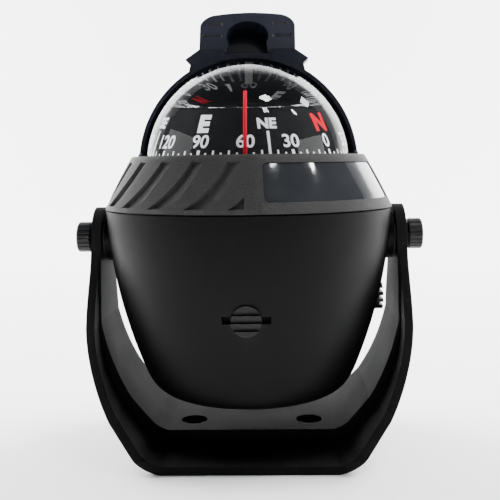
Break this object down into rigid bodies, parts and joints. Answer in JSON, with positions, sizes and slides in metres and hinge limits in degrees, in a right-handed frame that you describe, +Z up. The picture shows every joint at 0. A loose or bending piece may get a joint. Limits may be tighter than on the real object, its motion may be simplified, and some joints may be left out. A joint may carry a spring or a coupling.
{
  "type": "bracket-mount dome compass",
  "caption": "Marine dome compass with a dual-reading card, slatted bezel and swing visor, tilting in a U bracket on two hand knobs.",
  "frame": {"origin": "midway between the two base screw holes, on the bracket's underside", "axes": "+X to the right of someone reading the dial, +Y away from them, +Z up"},
  "size_m": [0.1034, 0.0854, 0.1333],
  "materials": {
    "bracket_plastic": "fine-grained satin black",
    "bowl_plastic": "smooth satin black",
    "bezel_plastic": "fine-grained charcoal satin",
    "panel_plastic": "polished black",
    "dome_clear": "clear and polished",
    "seal_rubber": "plain black rubber",
    "capsule_plastic": "matte black",
    "steel": "plain stainless",
    "brass": "plain turned brass",
    "gimbal_plastic": "matte black",
    "card_plastic": "near-black with white and red print",
    "float_plastic": "natural white",
    "magnet_metal": "plain sintered magnet",
    "lubber_red": "red enamel",
    "lubber_grey": "light grey",
    "knob_plastic": "ribbed satin black",
    "washer_fibre": "dark fibre",
    "plug_plastic": "satin black",
    "visor_plastic": "blue-black satin"
  },
  "bodies": {
    "bracket": {"mounting_bracket": "bracket_plastic"},
    "head": {"bowl_housing": "bowl_plastic", "bezel_ring": "bezel_plastic", "bezel_panel": "panel_plastic", "dome": "dome_clear", "dome_gasket": "seal_rubber", "fluid_capsule": "capsule_plastic", "capsule_screws": "steel", "filler_plug": "brass", "expansion_diaphragm": "seal_rubber", "diaphragm_clamp": "capsule_plastic", "clamp_screws": "steel", "gimbal_frame": "gimbal_plastic", "lubber_ring": "gimbal_plastic", "lubber_line": "lubber_red", "compensator_cradle": "capsule_plastic", "pivot_inserts": "brass", "friction_washers": "washer_fibre", "visor_pins": "steel"},
    "right_knob": {"right_clamp_knob": "knob_plastic", "right_clamp_stud": "steel"},
    "left_knob": {"left_clamp_knob": "knob_plastic", "left_clamp_stud": "steel"},
    "visor": {"visor_hood": "visor_plastic"},
    "pitch_ring": {"outer_gimbal": "gimbal_plastic", "outer_gimbal_pins": "steel", "inner_gimbal_pins": "steel"},
    "roll_frame": {"inner_gimbal": "gimbal_plastic", "balance_weight": "brass", "pivot_post": "steel", "rear_lubber": "lubber_grey"},
    "card": {"compass_card": "card_plastic", "card_float": "float_plastic", "jewel_cup": "card_plastic", "card_magnets": "magnet_metal"},
    "front_adjuster": {"front_compensator": "plug_plastic", "front_compensator_magnet": "magnet_metal"},
    "side_adjuster": {"side_compensator": "plug_plastic", "side_compensator_magnet": "magnet_metal"}
  },
  "joints": [
    {"name": "head_tilt", "type": "hinge", "parent": "bracket", "child": "head", "pos_m": [0, 0, 0.0623], "axis": [1, 0, 0], "range_deg": [-60, 60]},
    {"name": "right_knob_turn", "type": "hinge", "parent": "head", "child": "right_knob", "pos_m": [0.049, 0, 0.0623], "axis": [1, 0, 0], "range_deg": [0, 720]},
    {"name": "left_knob_turn", "type": "hinge", "parent": "head", "child": "left_knob", "pos_m": [-0.049, 0, 0.0623], "axis": [-1, 0, 0], "range_deg": [0, 720]},
    {"name": "visor_swing", "type": "hinge", "parent": "head", "child": "visor", "pos_m": [0, 0, 0.084], "axis": [1, 0, 0], "range_deg": [0, 70]},
    {"name": "card_pitch", "type": "hinge", "parent": "head", "child": "pitch_ring", "pos_m": [0, 0, 0.08], "axis": [1, 0, 0], "range_deg": [-18, 18]},
    {"name": "card_roll", "type": "hinge", "parent": "pitch_ring", "child": "roll_frame", "pos_m": [0, 0, 0.08], "axis": [0, 1, 0], "range_deg": [-18, 18]},
    {"name": "card_turn", "type": "hinge", "parent": "roll_frame", "child": "card", "pos_m": [0, 0, 0.0917], "axis": [0, 0, 1], "continuous": true},
    {"name": "front_compensator_turn", "type": "hinge", "parent": "head", "child": "front_adjuster", "pos_m": [0, -0.035, 0.0438], "axis": [0, 1, 0], "continuous": true},
    {"name": "side_compensator_turn", "type": "hinge", "parent": "head", "child": "side_adjuster", "pos_m": [0.035, 0, 0.0438], "axis": [1, 0, 0], "continuous": true}
  ]
}
